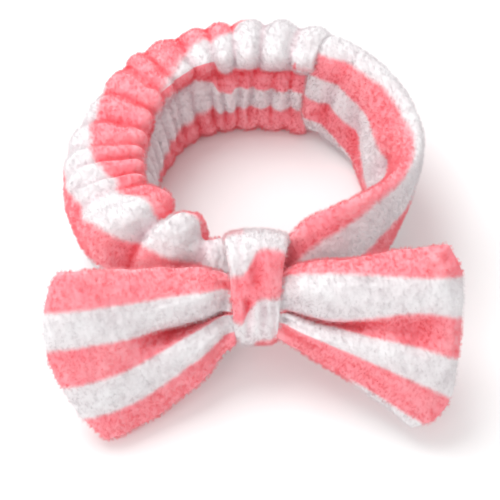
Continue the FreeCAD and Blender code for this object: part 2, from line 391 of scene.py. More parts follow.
def noise(tree, scale, detail):
    """A soft random pattern from 0 to 1."""
    node = add(tree, "ShaderNodeTexNoise")
    set_inputs(tree, node, {"Scale": scale, "Detail": detail, "Vector": own_place(tree)})
    return node.outputs[0]


def bands(tree, scale, direction):
    """Parallel waves from 0 to 1."""
    node = add(tree, "ShaderNodeTexWave", wave_type="BANDS", bands_direction=direction)
    set_inputs(tree, node, {"Scale": scale, "Vector": own_place(tree)})
    return node.outputs["Fac"]


def cloth_coordinate(tree, uv_map, axis):
    """One coordinate of a UV map."""
    node = add(tree, "ShaderNodeSeparateXYZ")
    tree.links.new(add(tree, "ShaderNodeUVMap", uv_map=uv_map).outputs[0], node.inputs[0])
    return node.outputs[axis]


def ramp(tree, value, low, high, first=0, last=1, kind="LINEAR"):
    """Takes low to high over to first to last, and stays there outside."""
    node = add(tree, "ShaderNodeMapRange", interpolation_type=kind)
    ends = {"From Min": low, "From Max": high, "To Min": first, "To Max": last}
    set_inputs(tree, node, {**ends, "Value": value})
    return node.outputs[0]


def relief(tree, shader, height, strength, distance):
    """Shades the surface as if the height pattern stood out of it."""
    node = add(tree, "ShaderNodeBump")
    set_inputs(tree, node, {"Strength": strength, "Distance": distance, "Height": height})
    tree.links.new(node.outputs[0], shader.inputs["Normal"])


def stripe_colour(tree, deep):
    """Pink and white stripes from the cloth's own coordinates, with a furry edge, mottled pile, and painted
    shade that darkens the colours in creases.

    deep is how far the mottling goes towards the deep colours. Returns the colour and the fur's fine pattern.
    """
    fur = noise(tree, FUR_SCALE, 3)
    mottle = ramp(tree, noise(tree, MOTTLE_SCALE, 4), 0.35, 0.65)
    across = cloth_coordinate(tree, "weave", "Y")
    # How deep in a crease the point lies; the colours are darkened towards the fold shade colours by it, as
    # painted shade.
    fold = cloth_coordinate(tree, "crease", "X")
    wobble = maths(tree, "MULTIPLY_ADD", fur, EDGE_WOBBLE, -EDGE_WOBBLE / 2)
    phase = maths(tree, "FRACT", maths(tree, "ADD", wobble, across))
    centred = maths(tree, "ABSOLUTE", maths(tree, "SUBTRACT", phase, 0.75))
    nearest = maths(tree, "MINIMUM", centred, maths(tree, "SUBTRACT", 1.0, centred))
    pink_share = ramp(tree, nearest, 0.25 - EDGE_BLUR, 0.25 + EDGE_BLUR, 1, 0, "SMOOTHSTEP")
    amount = maths(tree, "MULTIPLY", mottle, deep)
    pink = mix_colours(tree, amount, PINK, PINK_DEEP)
    pink = mix_colours(tree, fold, pink, PINK_FOLD_SHADE)
    white = mix_colours(tree, amount, WHITE, WHITE_DEEP)
    white = mix_colours(tree, maths(tree, "MULTIPLY", fold, WHITE_FOLD_SHADE_SHARE), white, WHITE_FOLD_SHADE)
    return mix_colours(tree, pink_share, white, pink), fur


def fleece_material():
    """The cloth under the pile: matt, with tufts about 2 mm across and a soft sheen."""
    material, tree, shader = new_material("striped_fleece")
    colour, fur = stripe_colour(tree, 0.8)
    tufts = add(tree, "ShaderNodeTexVoronoi", feature="SMOOTH_F1")
    set_inputs(tree, tufts, {"Scale": TUFT_SCALE, "Vector": own_place(tree)})
    height = maths(tree, "MULTIPLY_ADD", tufts.outputs["Distance"], -0.5, fur)
    relief(tree, shader, height, strength=0.22, distance=0.8 * MM)
    set_inputs(tree, shader, {
        "Base Color": colour,
        "Roughness": 0.95,
        "Specular IOR Level": 0.15,
        "Sheen Weight": 0.35,
        "Sheen Roughness": 0.6,
    })
    return material


def pile_material():
    """The strands of the pile, which let some light through."""
    material, tree, shader = new_material("fleece_pile")
    colour, _ = stripe_colour(tree, 0.35)
    tree.nodes.remove(shader)
    matt = add(tree, "ShaderNodeBsdfDiffuse")
    through = add(tree, "ShaderNodeBsdfTranslucent")
    both = add(tree, "ShaderNodeMixShader")
    feed(tree, matt.inputs["Color"], colour)
    feed(tree, through.inputs["Color"], colour)
    for socket, value in zip(both.inputs, (0.6, matt.outputs[0], through.outputs[0])):
        feed(tree, socket, value)
    tree.links.new(both.outputs[0], tree.nodes["Material Output"].inputs["Surface"])
    return material


def thread_material():
    """Twisted sewing thread."""
    material, tree, shader = new_material("sewing_thread")
    twist = bands(tree, 900, "DIAGONAL")
    relief(tree, shader, twist, strength=0.5, distance=0.2 * MM)
    colour = mix_colours(tree, twist, (0.86, 0.70, 0.72, 1), (0.95, 0.88, 0.88, 1))
    set_inputs(tree, shader, {"Base Color": colour, "Roughness": 0.6})
    return material


def elastic_material():
    """Woven elastic: fine ribs along its length, crossed by the weft."""
    material, tree, shader = new_material("woven_elastic")
    ribs = bands(tree, 260, "Z")
    weft = noise(tree, 900, 2)
    relief(tree, shader, maths(tree, "ADD", ribs, weft), strength=0.6, distance=0.3 * MM)
    colour = mix_colours(tree, ribs, (0.78, 0.77, 0.74, 1), (0.9, 0.89, 0.87, 1))
    set_inputs(tree, shader, {"Base Color": colour, "Roughness": 0.7})
    return material


def wadding_material():
    """Loose white fibres."""
    material, tree, shader = new_material("wadding")
    colour = mix_colours(tree, noise(tree, 500, 6), (0.84, 0.84, 0.82, 1), (0.95, 0.95, 0.94, 1))
    set_inputs(tree, shader, {"Base Color": colour, "Roughness": 1.0})
    return material


FLEECE = fleece_material()
PILE = pile_material()
THREAD = thread_material()
ELASTIC = elastic_material()
WADDING = wadding_material()


TUFT = 2.2 * MM
PILE_HAIR = {
    "type": "HAIR",
    "use_advanced_hair": True,
    "hair_length": 1.25 * MM,
    "hair_step": 3,
    "render_step": 3,
    "display_step": 2,
    "emit_from": "FACE",
    "use_modifier_stack": False,
    "factor_random": 0.00008,
    "child_type": "SIMPLE",
    "rendered_child_count": 10,
    "child_percent": 1,
    "child_radius": 0.9 * MM,
    "child_roundness": 1.0,
    "clump_factor": 0.15,
    "clump_shape": -0.2,
    "roughness_1": 0.0001,
    "roughness_1_size": 0.002,
    "roughness_2": 0.00015,
    "child_length": 1.0,
    "child_length_threshold": 0.3,
    "root_radius": 1.0,
    "tip_radius": 0.35,
    "radius_scale": 0.055 * MM,
    "material": 2,
}


def grow_pile(obj, per_square_mm=0.8):
    """Short soft pile on a fleece surface."""
    obj.data.materials.clear()
    obj.data.materials.append(FLEECE)
    obj.data.materials.append(PILE)
    area = sum(face.area for face in obj.data.polygons)
    obj.modifiers.new("pile", "PARTICLE_SYSTEM")
    settings = obj.particle_systems[-1].settings
    for name, value in PILE_HAIR.items():
        setattr(settings, name, value)
    settings.count = int(area * 1e6 * per_square_mm)
    obj.show_instancer_for_render = True
    obj.particle_systems[-1].seed = len(bpy.data.particles)


def fleece_surface(obj, wave, height):
    """Slow unevenness of the cloth, small tufts, and the pile."""
    ruffle(obj, wave, height)
    ruffle(obj, TUFT, 0.28 * MM)
    grow_pile(obj)


def stands_for(nodes):
    """The piece takes the place of some CAD nodes."""
    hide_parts(*nodes)


# ---- Band ----

SMOOTH_COVERS = ["smooth_cover_front", "smooth_cover_rear"]
GATHERED_COVERS = ["gathered_cover_front", "gathered_cover_rear"]
RING_AROUND = 48
RING_STEP = 2.5
RAYS = 90
RAY_REACH = 58 * MM
band_tree, band_points = cad_tree(*SMOOTH_COVERS, *GATHERED_COVERS)
band_azimuth = np.degrees(np.arctan2(band_points[:, 1], band_points[:, 0])) % 360
band_radius = np.hypot(band_points[:, 0], band_points[:, 1])


def azimuth_of(point):
    """Degrees round the head from +X."""
    return math.degrees(math.atan2(point[1], point[0])) % 360


KNOT_AZIMUTH = azimuth_of(sum(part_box("knot_seam_thread"), Vector()) / 2)
CROSS_AZIMUTH = azimuth_of(sum(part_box("cross_seam_thread"), Vector()) / 2)


def band_section(azimuth):
    """The band's outline in the upright plane at an azimuth, from its top over the outer side, or None."""
    near = np.abs((band_azimuth - azimuth + 180) % 360 - 180) < 2.0
    radius = middle_of(band_radius[near])
    height = middle_of(band_points[near, 2])
    outward = Vector((math.cos(math.radians(azimuth)), math.sin(math.radians(azimuth)), 0))
    centre = outward * radius + Vector((0, 0, height))
    loop = []
    for angle in np.linspace(0, 2 * math.pi, RAYS, endpoint=False):
        away = outward * math.sin(angle) + Vector((0, 0, math.cos(angle)))
        hit = band_tree.ray_cast(centre + away * RAY_REACH, -away, RAY_REACH)[0]
        if hit is None:
            return None
        loop.append(hit)
    loop = np.array(loop)
    spread = loop - loop.mean(0)
    flat = np.stack([spread @ np.array(outward), spread[:, 2]], axis=1)
    _, axes = np.linalg.eigh(flat.T @ flat)
    long_axis = axes[:, 1] * np.sign(axes[1, 1])
    first = int(np.argmax(flat @ long_axis))
    loop = np.roll(loop, -first, axis=0)
    closed = np.vstack([loop, loop[:1]])
    along = length_along(closed)
    return between(np.linspace(0, along[-1], RING_AROUND, endpoint=False), along, closed)


def band_skin():
    """The band's outline at even azimuths; gaps at the CAD's seams are bridged."""
    azimuths = np.arange(0, 360, RING_STEP)
    loops = [band_section(azimuth) for azimuth in azimuths]
    sizes = []
    for loop in loops:
        sizes.append(np.nan if loop is None else np.linalg.norm(loop - np.roll(loop, 1, 0), axis=1).sum())
    typical = np.array([np.nanmedian(np.roll(sizes, 3 - i)[:7]) for i in range(len(sizes))])
    usual = np.abs(np.array(sizes) / typical - 1) < 0.05
    known = azimuths[usual]
    table = np.array([loop for loop, fits in zip(loops, usual) if fits])
    known = np.concatenate([known - 360, known, known + 360])
    table = np.concatenate([table, table, table]).reshape(len(known), -1)
    filled = between(azimuths, known, table)
    return blur(filled.reshape(len(azimuths), RING_AROUND, 3), 1, True, True)


SKIN = band_skin()


def skin_at(azimuths, around):
    """Points of the band's skin: rows at azimuths, columns at shares of the outline."""
    azimuths = np.asarray(azimuths)
    row = (azimuths % 360) / RING_STEP
    low = np.floor(row).astype(int)
    share = (row - low)[:, None, None]
    rows = SKIN[low % len(SKIN)] * (1 - share) + SKIN[(low + 1) % len(SKIN)] * share
    column = (np.asarray(around) % 1) * RING_AROUND
    left = np.floor(column).astype(int)
    part = (column - left)[None, :, None]
    return rows[:, left % RING_AROUND] * (1 - part) + rows[:, (left + 1) % RING_AROUND] * part


def even_azimuths(start, end, count):
    """Azimuths at even steps along the band's middle line, and its length."""
    fine = np.linspace(start, end, 400)
    middle = skin_at(fine, np.linspace(0, 1, 24, endpoint=False)).mean(1)
    along = length_along(middle)
    return np.interp(np.linspace(0, along[-1], count), along, fine), along[-1]


def out_of(points):
    """Outward directions at the points of a tube's grid, from its own shape."""
    ahead = np.gradient(points, axis=0)
    round_about = (np.roll(points, -1, 1) - np.roll(points, 1, 1)) / 2
    normal = np.cross(ahead, round_about)
    normal /= np.maximum(np.linalg.norm(normal, axis=2, keepdims=True), 1e-12)
    away = points - points.mean(1, keepdims=True)
    if (normal * away).sum() < 0:
        normal = -normal
    return normal


def perimeter_of(points):
    """The girth of every row of a tube's grid."""
    return np.linalg.norm(points - np.roll(points, 1, 1), axis=2).sum(1)


# The stripes' repeat, and how far the elastic's rolled lip reaches inwards from the band's top.
STRIPE = 50 * MM
LIP = 19 * MM
# At an azimuth: where a pink stripe starts and ends, in millimetres outwards from the band's top.
GATHERED_STRIPES = [
    (60, 27, 52),
    (85, 14, 40),
    (97, -2.5, 26),
    (142, -24, 17),
    (172, -23, 6),
    (195, -27, -5),
    (210, -30, -6),
    (235, -28, -2),
    (270, -28, 0),
]
SMOOTH_STRIPES = [
    (-90, -8, 18),
    (-75, -8, 17),
    (-45, -12, 13),
    (-15, -22, 3),
    (15, -33, -7),
    (35, -27, -9),
    (58, -23, -11),
]
# At an azimuth: how wide the white stripe under the pink one is on the smooth tube, in millimetres.
SMOOTH_WHITE = [(-20, 25), (10, 24), (35, 16), (58, 15)]
# At an azimuth: how far below the lip a white stripe's middle is on the inner wall, and the repeat there.
WALL_STRIPES = [(60, 27, 27), (100, 27, 29), (118, 19, 48), (180, 21, 64)]
# Where the elastic lets go at the front left, and where the gathers there loosen into big puffs, as azimuths.
ELASTIC_ENDS = (215, 245)
LOOSENS = (205, 225)
BIG_CREASES = (199, 224, 251)
CUT_LENGTH = 1.22
# Soft dents of the smooth tube: where along it and how wide, the slant and the share it turns about, where
# round it and how wide, and the depth in millimetres.
DENTS = [
    (0.50, 0.05, 0.10, 0.75, 0.70, 0.08, 5.0),
    (0.62, 0.03, 0.15, 0.75, 0.74, 0.07, 5.0),
    (0.80, 0.03, -0.2, 0.7, 0.68, 0.12, 4.0),
    (0.92, 0.02, 0.1, 0.7, 0.75, 0.14, 3.5),
]
# The dent depth at which the painted shade in a dent is darkest.
DENT_FULL_SHADE = 6 * MM


def stripe_place(azimuths, across, table, white):
    """The cloth's coordinate across its stripes; pink lies between a half and one."""
    where, inner, outer = np.array(table, float).T
    inner = np.interp(azimuths, where, inner)[:, None] * MM
    outer = np.interp(azimuths, where, outer)[:, None] * MM
    inside = 0.5 + 0.5 * (across - inner) / (outer - inner)
    white = np.where(white > 0, white, np.maximum(STRIPE / 2, inner + LIP + 2 * MM))
    before = 0.5 - 0.5 * (inner - across) / white
    after = 1.0 + (across - outer) / STRIPE
    return np.where(across < inner, before, np.where(across > outer, after, inside))


def band_weave(azimuths, around, perimeter, table, gathered, slip=0):
    """Cloth coordinates at the left and right side of every column of a band tube.

    slip is how far the cloth of each puff has moved across the stripes. On the gathered tube, the wall below
    the lip has its own table.
    """
    turn = np.where(around >= 0.5, around - 1.0, around)
    sides = []
    along = np.linspace(0, 1, len(azimuths))[:, None] * np.ones((1, len(turn)))
    for step in (0.0, 1.0 / len(around)):
        across = (turn + step)[None, :] * perimeter[:, None] + slip
        white = 0 if gathered else np.interp(azimuths, *np.array(SMOOTH_WHITE, float).T)[:, None] * MM
        stripes = stripe_place(azimuths, across, table, white)
        if gathered:
            where, middle, repeat = np.array(WALL_STRIPES, float).T
            repeat = np.interp(azimuths, where, repeat)[:, None] * MM
            below = -across - LIP - np.interp(azimuths, where, middle)[:, None] * MM
            below = np.where(below > 7 * MM, 7 * MM + 0.6 * (below - 7 * MM), below)
            wall = 0.25 + below / repeat
            stripes = np.where(turn[None, :] + 0.5 / len(around) < -LIP / perimeter[:, None], wall, stripes)
        sides.append(np.stack([along, stripes], axis=2))
    return sides


def recess(around):
    """How far the elastic draws the tube in: a rolled lip, a groove under it, a flat wall and a lower rim."""
    wall = smooth(0.585, 0.64, around) * (1 - smooth(0.80, 0.84, around))
    groove = bump(0.83, 0.024, around)
    lip = bump(0.89, 0.036, around)
    rim = bump(0.55, 0.035, around)
    return (5.0 * wall + 5.5 * groove - 4.5 * lip - 2.5 * rim) * MM


def crease_places(length, low, high, end, fixed):
    """Where creases lie along the tube: at random steps up to end, then at the fixed places."""
    places = [0.0]
    while places[-1] < end - high:
        places.append(places[-1] + rng.uniform(low, high))
    return np.array(places + [place for place in fixed] + [length])


def puffs(places, around, creases):
    """Rounded puffs between wandering creases, 1 on a puff and 0 in a crease, and each puff's random slip."""
    count = len(places)
    swing = np.zeros((count, len(around)))
    for turns in (1, 2, 3):
        amount = wander(count, 12, -1, 1) * 3.0 * MM / turns
        phase = wander(count, 30, 0, 6.28)
        swing += amount[:, None] * np.cos(turns * around[None, :] * 2 * math.pi + phase[:, None])
    moved = places[:, None] + swing * smooth(0, 12 * MM, places)[:, None]
    index = np.interp(moved, creases, np.arange(len(creases)))
    whole = np.clip(index.astype(int), 0, len(creases) - 2)
    share = index - whole
    size = rng.uniform(0.7, 1.1, len(creases))[whole]
    slip = rng.uniform(-1, 1, len(creases))[whole]
    return (1 - np.abs(2 * share - 1) ** 2.3) * size, slip


def gathered_casing():
    """The puckered tube: too long a cloth, pinched where the elastic pulls it in and settled by physics."""
    count = 140
    columns = 44
    azimuths, length = even_azimuths(CROSS_AZIMUTH - 0.8, KNOT_AZIMUTH + 1.0, count)
    around = np.arange(columns) / columns
    turn = (around + 0.5) % 1 - 0.5
    places = np.linspace(0, length, count)
    points = skin_at(azimuths, around)
    outward = out_of(points)
    perimeter = perimeter_of(points)
    loose = smooth(*LOOSENS, azimuths)[:, None]
    big = [np.interp(azimuth, azimuths, places) for azimuth in BIG_CREASES]
    top, slip = puffs(places, around, crease_places(length, 10 * MM, 18 * MM, big[0], big))
    wall, _ = puffs(places, around, crease_places(length, 7.5 * MM, 13 * MM, length, []))
    top_height = (2.4 + 4.4 * bump(-0.12, 0.07, turn) + 2.6 * bump(0.02, 0.13, turn))[None, :] * (1 - loose)
    top_height = top_height + loose * (4.0 + 10.0 * bump(0.0, 0.24, turn))[None, :]
    wall_height = (4.4 * bump(0.68, 0.16, around))[None, :] * (1 - loose)
    in_wall = (smooth(0.57, 0.62, around) * (1 - smooth(0.83, 0.85, around)))[None, :] * (1 - loose)
    swell = top_height * (top - 0.62) * (1 - in_wall) + wall_height * (wall - 0.6) * in_wall
    ends = smooth(0, 8 * MM, places) * smooth(0, 14 * MM, length - places)
    shift = -recess(around)[None, :] * (1 - smooth(*ELASTIC_ENDS, azimuths))[:, None]
    shift = shift + swell * ends[:, None] * MM
    shift = shift + (0.6 * MM * bump(4 * MM, 4 * MM, places))[:, None]
    points = points + outward * shift[..., None]
    slip = slip * 3 * MM
    left, right = band_weave(azimuths, around, perimeter, GATHERED_STRIPES, gathered=True, slip=slip)
    # How deep each point lies in a crease between puffs or in the groove under the lip, for the painted shade
    # there.
    depth = (0.45 - top) / 0.45 * (1 - in_wall) + (0.55 - wall) / 0.55 * in_wall
    groove = 0.9 * bump(0.835, 0.02, around)[None, :] * (1 - loose)
    crease = np.clip(0.8 * np.clip(depth, 0, 1) + groove, 0, 1) * ends[:, None]
    obj = grid_object("gathered_casing", points, left, right, crease, caps=True)
    sewn = np.clip(0.1 + 0.8 * bump(0.75, 0.05, around) + 0.8 * bump(0.83, 0.03, around), 0, 1)
    held = np.tile(sewn, (count, 1))
    held[:2] = 1
    held[-2:] = 1
    cut = straight_tube(points, length * CUT_LENGTH)
    held = np.append(held.ravel(), [1, 1])
    settle(obj, held, pressure=8, frames=22, cap=4 * MM, stiffness=0.1, rest=cut)
    subdivide(obj, 2)
    return obj


def straight_tube(points, length):
    """The same tube laid out straight at its cut length, with its end caps' middles."""
    rows = len(points)
    middle = points.mean(1, keepdims=True)
    ahead = np.gradient(middle[:, 0], axis=0)
    ahead[:, 2] = 0
    ahead /= np.linalg.norm(ahead, axis=1, keepdims=True)
    side = np.stack([ahead[:, 1], -ahead[:, 0], np.zeros(rows)], axis=1)
    spread = points - middle
    across = (spread * side[:, None, :]).sum(2)
    along = np.linspace(0, length, rows)[:, None] * np.ones_like(across)
    flat = np.stack([along, across, spread[..., 2]], axis=2)
    ends = np.array([[0, 0, 0], [length, 0, 0]])
    return np.vstack([flat.reshape(-1, 3), ends])


def smooth_casing():
    """The plain tube on the right, with a few soft folds."""
    count = 120
    columns = 44
    azimuths, length = even_azimuths(KNOT_AZIMUTH - 361, CROSS_AZIMUTH + 1.4, count)
    around = np.arange(columns) / columns
    points = skin_at(azimuths, around)
    outward = out_of(points)
    perimeter = perimeter_of(points)
    places = np.linspace(0, length, count)[:, None]
    along = places / length
    turn = around[None, :]
    dents = 0
    for where, width, slant, pivot, side, spread, deep in DENTS:
        crossing = bump(where, width, along + slant * (turn - pivot))
        dents = dents + crossing * bump(side, spread, turn) * deep * MM
    near_knot = 1 - smooth(0.04, 0.30, along)
    dents = dents + near_knot * (0.5 + 0.5 * np.cos(turn * 2 * math.pi * 7 + 3 * along)) * 2.0 * MM
    tuck = smooth(length - 4 * MM, length, places)
    points = points - outward * (dents + 2.5 * MM * tuck)[..., None]
    left, right = band_weave(azimuths, around, perimeter, SMOOTH_STRIPES, gathered=False)
    # The dents are darkened by their depth, as painted shade.
    obj = grid_object("smooth_casing", points, left, right, dents / DENT_FULL_SHADE, caps=True)
    held = np.full(count * columns, 0.35)
    held[: 2 * columns] = 1
    held[-2 * columns :] = 1
    settle(obj, np.append(held, [1, 1]), pressure=2, frames=14, cap=2.5 * MM)
    subdivide(obj, 2)
    return obj


def band_blend(obj):
    """Bakes the piece's placement into its mesh."""
    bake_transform(obj)


def finish_band(obj, nodes):
    """Surface of a band tube; its placement is baked in and it takes the place of the CAD covers."""
    fleece_surface(obj, wave=9 * MM, height=1.2 * MM)
    band_blend(obj)
    stands_for(nodes)


# ---- Bow ----


def bow_place(across, rise, depth):
    """Points in the frame from the bow's own directions, in metres."""
    across, rise, depth = np.broadcast_arrays(across, rise, depth)
    sideways = across[..., None] * np.array((1.0, 0, 0))
    return np.array(KNOT) + sideways + rise[..., None] * np.array(RISE) + depth[..., None] * np.array(FACE)


def bow_local(*nodes):
    """A tree for casting rays at some CAD nodes, and their points along the bow's own directions."""
    tree, cad = cad_tree(*nodes)
    local = cad - np.array(KNOT)
    return tree, local[:, 0], local @ np.array(RISE), local @ np.array(FACE)


# Each wing: its outline as shares of the reach from the fold line and of its height from its low corner; the
# stripes' start and repeat; the pleat's height; how the cloth's height is shared out in the knot, and where
# it spreads again; how far out the pleat and the pit at its end lie; and the height of the low edge's seam.
WINGS = {
    "left": {
        "side": -1,
        "top": [(-0.075, 0.90), (0, 0.953), (0.22, 0.985), (0.47, 0.988), (0.71, 0.998), (0.90, 0.985)],
        "end": [
            (0.90, 0.985), (0.965, 0.90), (0.998, 0.713), (0.975, 0.50), (0.911, 0.330), (0.80, 0.13),
            (0.655, -0.02),
        ],
        "bottom": [
            (-0.075, 0.52), (0, 0.465), (0.05, 0.363), (0.139, 0.279), (0.309, 0.137), (0.437, 0.059),
            (0.655, -0.02),
        ],
        "stripe": (0.17, 0.405),
        "pleat": 0.55,
        "knot_shares": [(0, 0), (0.17, 0.23), (0.37, 0.47), (0.58, 0.50), (0.78, 0.81), (1, 1)],
        "spread": (0.05, 0.85),
        "pleat_reach": 0.72,
        "pit": 0.45,
        "hem": 0.0,
    },
    "right": {
        "side": 1,
        "top": [(-0.075, 0.80), (0, 0.847), (0.133, 0.875), (0.414, 0.919), (0.684, 0.975), (0.885, 1.0)],
        "end": [
            (0.885, 1.0), (0.955, 0.91), (0.993, 0.750), (0.96, 0.52), (0.954, 0.332), (0.926, 0.167),
            (0.86, 0.05), (0.70, -0.02),
        ],
        "bottom": [
            (-0.075, 0.46), (0, 0.407), (0.119, 0.339), (0.326, 0.230), (0.468, 0.140), (0.609, 0.052),
            (0.70, -0.02),
        ],
        "stripe": (0.262, 0.380),
        "pleat": 0.58,
        "knot_shares": [(0, 0), (0.26, 0.26), (0.45, 0.40), (0.64, 0.435), (0.83, 0.91), (1, 1)],
        "spread": (0.22, 0.85),
        "pleat_reach": 0.95,
        "pit": 0.80,
        "hem": 0.09,
    },
}


def wing_outline(wing, reach, low, high, s, t):
    """A grid of (out, rise) that fills the wing's outline: s runs out from the fold line, t runs up."""
    def placed(points, shares):
        found = curve_through(points, shares)
        return np.stack([FOLD + found[:, 0] * (reach - FOLD), low + found[:, 1] * (high - low)], axis=1)

    top = placed(wing["top"], s)
    bottom = placed(wing["bottom"], s)
    end = placed(wing["end"][::-1], t)
    root_t = np.interp(t, *np.array(wing["knot_shares"]).T)
    relax = smooth(*wing["spread"], s)
    mixed_t = root_t[None, :] * (1 - relax[:, None]) + t[None, :] * relax[:, None]
    ruled = bottom[:, None] * (1 - mixed_t[..., None]) + top[:, None] * mixed_t[..., None]
    ruled_end = bottom[-1] * (1 - t[:, None]) + top[-1] * t[:, None]
    return ruled + (end - ruled_end)[None] * (s**2.2)[:, None, None]


def panel_depths(tree, side, flat):
    """How far forward the CAD panels' front (1) and back (-1) lie over a grid, smoothed."""
    depths = {}
    for face in (1, -1):
        depth = np.empty(flat.shape[:2])
        for i, j in np.ndindex(depth.shape):
            across, rise = flat[i, j]
            start = Vector(bow_place(side * across, rise, face * 90 * MM))
            hit = tree.ray_cast(start, FACE * -face)[0]
            if hit is None:
                hit = tree.find_nearest(Vector(bow_place(side * across, rise, 12 * MM)))[0]
            depth[i, j] = (hit - KNOT).dot(FACE)
        depths[face] = blur(depth, 3)
    return depths


def round_trip(front, back):
    """One grid round a wing: the front's columns up, then the back's down, without the two shared edges."""
    return np.concatenate([front, back[:, ::-1][:, 1:-1]], axis=1)


def wing(name):
    """One padded wing: two panels joined round the edge, with a pleat that runs out from the knot."""
    plan = WINGS[name]
    side = plan["side"]
    panels = [f"bow_{name}_front_panel", f"bow_{name}_back_panel"]
    tree, across, rise, _ = bow_local(*panels)
    reach = (side * across).max()
    rows = 46
    columns = 48
    s = np.linspace(0, 1, rows)
    t = np.linspace(0, 1, columns)
    flat = wing_outline(plan, reach, rise.min(), rise.max(), s, t)
    s = s[:, None]
    t = t[None, :]
    depths = panel_depths(tree, side, flat)
    middle = blur((depths[1] + depths[-1]) / 2, 6)
    edge = np.minimum(np.minimum(t, 1 - t) * 2.0, (1 - s) * 1.35 + 0 * t)
    round_off = np.sqrt(np.clip(1 - (1 - np.clip(edge / 0.42, 0, 1)) ** 2, 0, 1))
    valley, lobes = pleat_shape(plan, s, t)
    slim = 0.45 + 0.55 * smooth(FOLD - 4 * MM, FOLD + 9 * MM, flat[..., 0])
    grids = {}
    for face in (1, -1):
        thick = np.maximum(np.abs(depths[face] - middle), 5 * MM) * round_off * slim
        push = (lobes - valley) * round_off if face > 0 else -0.5 * valley * round_off
        grids[face] = bow_place(side * flat[..., 0], flat[..., 1], middle + face * thick + push)
    offset, period = plan["stripe"]
    hem = plan["hem"] * (1 - smooth(0.45, 0.75, s))
    stripes = (np.clip(t, hem, 0.97) - offset) / period
    along = s * (reach - FOLD) + 0 * t
    panel_weave = np.stack([along, stripes], axis=2)
    weave = np.concatenate([panel_weave, panel_weave[:, ::-1][:, 1:]], axis=1)
    wadding(name, grids, weave)
    # The pleat's valley is darkened by its depth, as painted shade.
    crease = valley / (14 * MM)
    points = round_trip(grids[1], grids[-1])
    obj = grid_object(f"bow_{name}_wing", points, weave[:, :-1], weave[:, 1:], round_trip(crease, 0 * crease))
    close_wing(obj, points.shape[1])
    held = 0.15 + 0.85 * np.clip(valley / (6 * MM), 0, 1)
    held = round_trip(held, held).ravel()[: len(obj.data.vertices)]
    held[: 3 * points.shape[1]] = 1
    settle(obj, held, pressure=2.5, frames=16, cap=4 * MM)
    subdivide(obj, 2)
    fleece_surface(obj, wave=11 * MM, height=1.6 * MM)
    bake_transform(obj)
    stands_for(panels)


def wadding(name, grids, weave):
    """The wing's soft filling: half as thick as the wing, and short of its edges."""
    inside = slice(5, -4)
    middle = (grids[1] + grids[-1]) / 2
    centre = middle[inside].reshape(-1, 3).mean(0)
    faces = {}
    for face in (1, -1):
        filling = middle + 0.5 * (grids[face] - middle)
        faces[face] = (centre + 0.84 * (filling - centre))[inside]
    points = round_trip(faces[1], faces[-1])
    weave = weave[inside]
    obj = grid_object(f"bow_{name}_filling", points, weave[:, :-1], weave[:, 1:], 0, caps=True)
    ruffle(obj, 6 * MM, 0.8 * MM)
    obj.data.materials.append(WADDING)
    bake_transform(obj)
    stands_for([f"bow_{name}_wadding"])


def pleat_shape(plan, s, t):
    """How deep the valley out of the knot and the small gathers are, and how high the lobes beside it."""
    pleat = plan["pleat"]
    open_end = 1 - smooth(0.12, plan["pleat_reach"], s)
    rise = smooth(0.04, 0.16, s)
    valley = np.where(t > pleat, bump(pleat, 0.04, t), bump(pleat, 0.12, t)) * open_end * rise * 10 * MM
    valley = valley + bump(pleat - 0.04, 0.09, t) * bump(plan["pit"], 0.10, s) * 6 * MM
    lobes = bump(pleat + 0.20, 0.14, t) + 0.8 * bump(pleat - 0.30, 0.15, t)
    waves = 0.5 + 0.5 * np.cos(t * 2 * math.pi * 6)
    gathers = waves * (1 - smooth(0.1, 0.40, s)) * smooth(0.0, 0.1, s) * 2.2 * MM
    return valley + gathers, lobes * open_end * rise * 10 * MM


def close_wing(obj, ring):
    """Joins the front to the back along the far end, and caps the root, whose ring of points comes first."""
    shape = bmesh.new()
    shape.from_mesh(obj.data)
    shape.verts.ensure_lookup_table()
    layer = shape.loops.layers.uv["weave"]
    root = shape.faces.new(shape.verts[:ring])
    for loop in root.loops:
        loop[layer].uv = loop.vert.link_loops[0][layer].uv
    bmesh.ops.remove_doubles(shape, verts=shape.verts, dist=0.05 * MM)
    bmesh.ops.recalc_face_normals(shape, faces=shape.faces)
    bmesh.ops.triangulate(shape, faces=[face for face in shape.faces if len(face.verts) > 4])
    shape.to_mesh(obj.data)
    shape.free()
    face_outwards(obj)


BOW_STRIPE = 46 * MM
WRAP_REACH = 60 * MM
# The wrap's width at heights over its middle, in metres, as shares of the CAD wrap's width.
WRAP_WIDTHS = [(-26 * MM, 0.86), (0, 0.98), (14 * MM, 1.06), (26 * MM, 1.24)]
# The front's smaller creases, in millimetres: place across, half width, depth, and the heights between which
# a crease fades in.
WRAP_CREASES = [
    (4.5, 1.3, 3.0, 4, -8),
    (-8.0, 1.2, 2.2, -6, 6),
    (9.0, 1.2, 2.0, 2, -10),
]
DEEPEST_FOLD = 4.6


def wrap_rings(tree, centre, angles):
    """The CAD wrap's outer and inner faces, round its middle."""
    outer = []
    inner = []
    for angle in angles:
        away = FACE * math.cos(angle) + RISE * math.sin(angle)
        outer.append(tree.ray_cast(centre + away * WRAP_REACH, -away, WRAP_REACH)[0])
        inner.append(tree.ray_cast(centre, away, WRAP_REACH)[0])
    return np.array(outer), np.array(inner)


